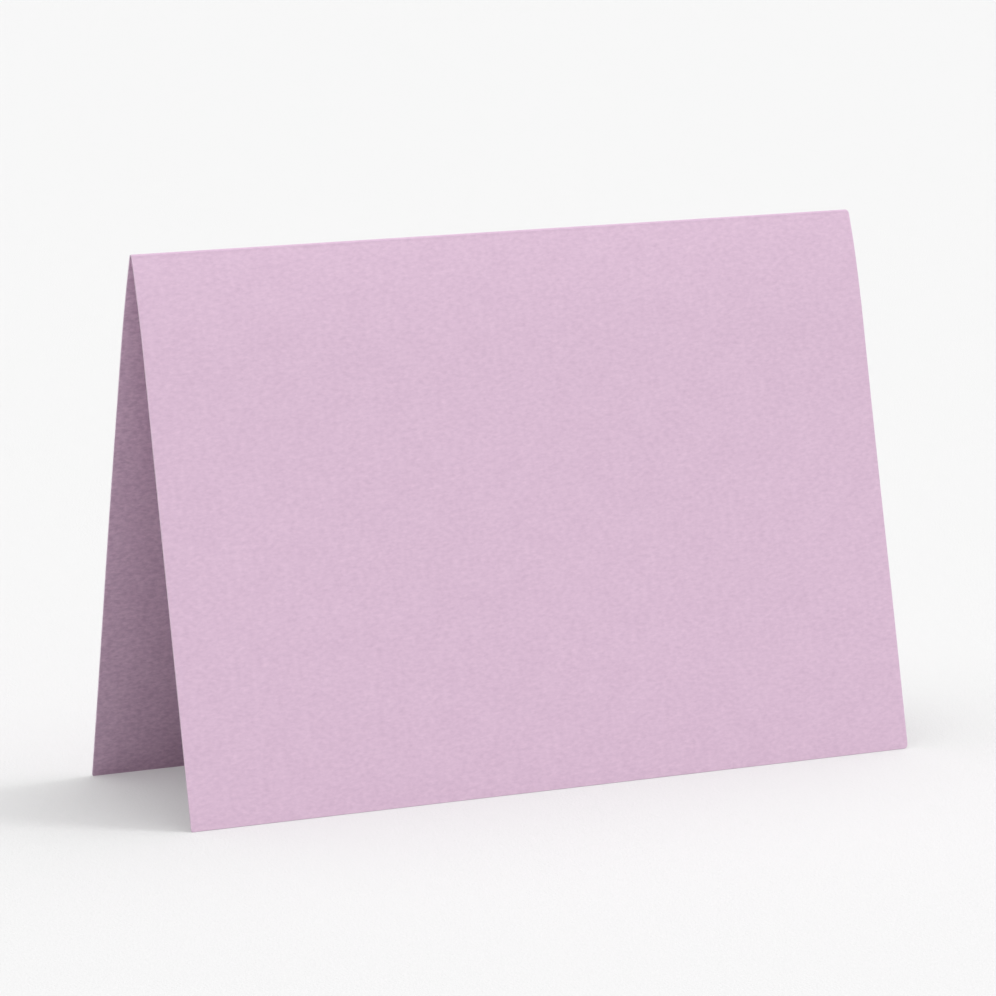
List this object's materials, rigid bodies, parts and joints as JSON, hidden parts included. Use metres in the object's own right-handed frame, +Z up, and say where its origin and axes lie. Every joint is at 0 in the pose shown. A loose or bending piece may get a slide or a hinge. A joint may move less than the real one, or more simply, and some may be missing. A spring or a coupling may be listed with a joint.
{
  "type": "greeting card",
  "caption": "Blank landscape greeting card of pink-lilac card stock, folded along its top and standing open like a tent on its cut edges.",
  "frame": {"origin": "on the table, midway between the two standing edges and midway along the crease", "axes": "+X along the crease, to the right when looking at the front panel; -Y is the way the front panel faces; +Z up, towards the crease"},
  "size_m": [0.21, 0.0704, 0.1438],
  "materials": {
    "card_stock": "matte"
  },
  "bodies": {
    "root": {"folded_card": "card_stock"}
  },
  "joints": []
}
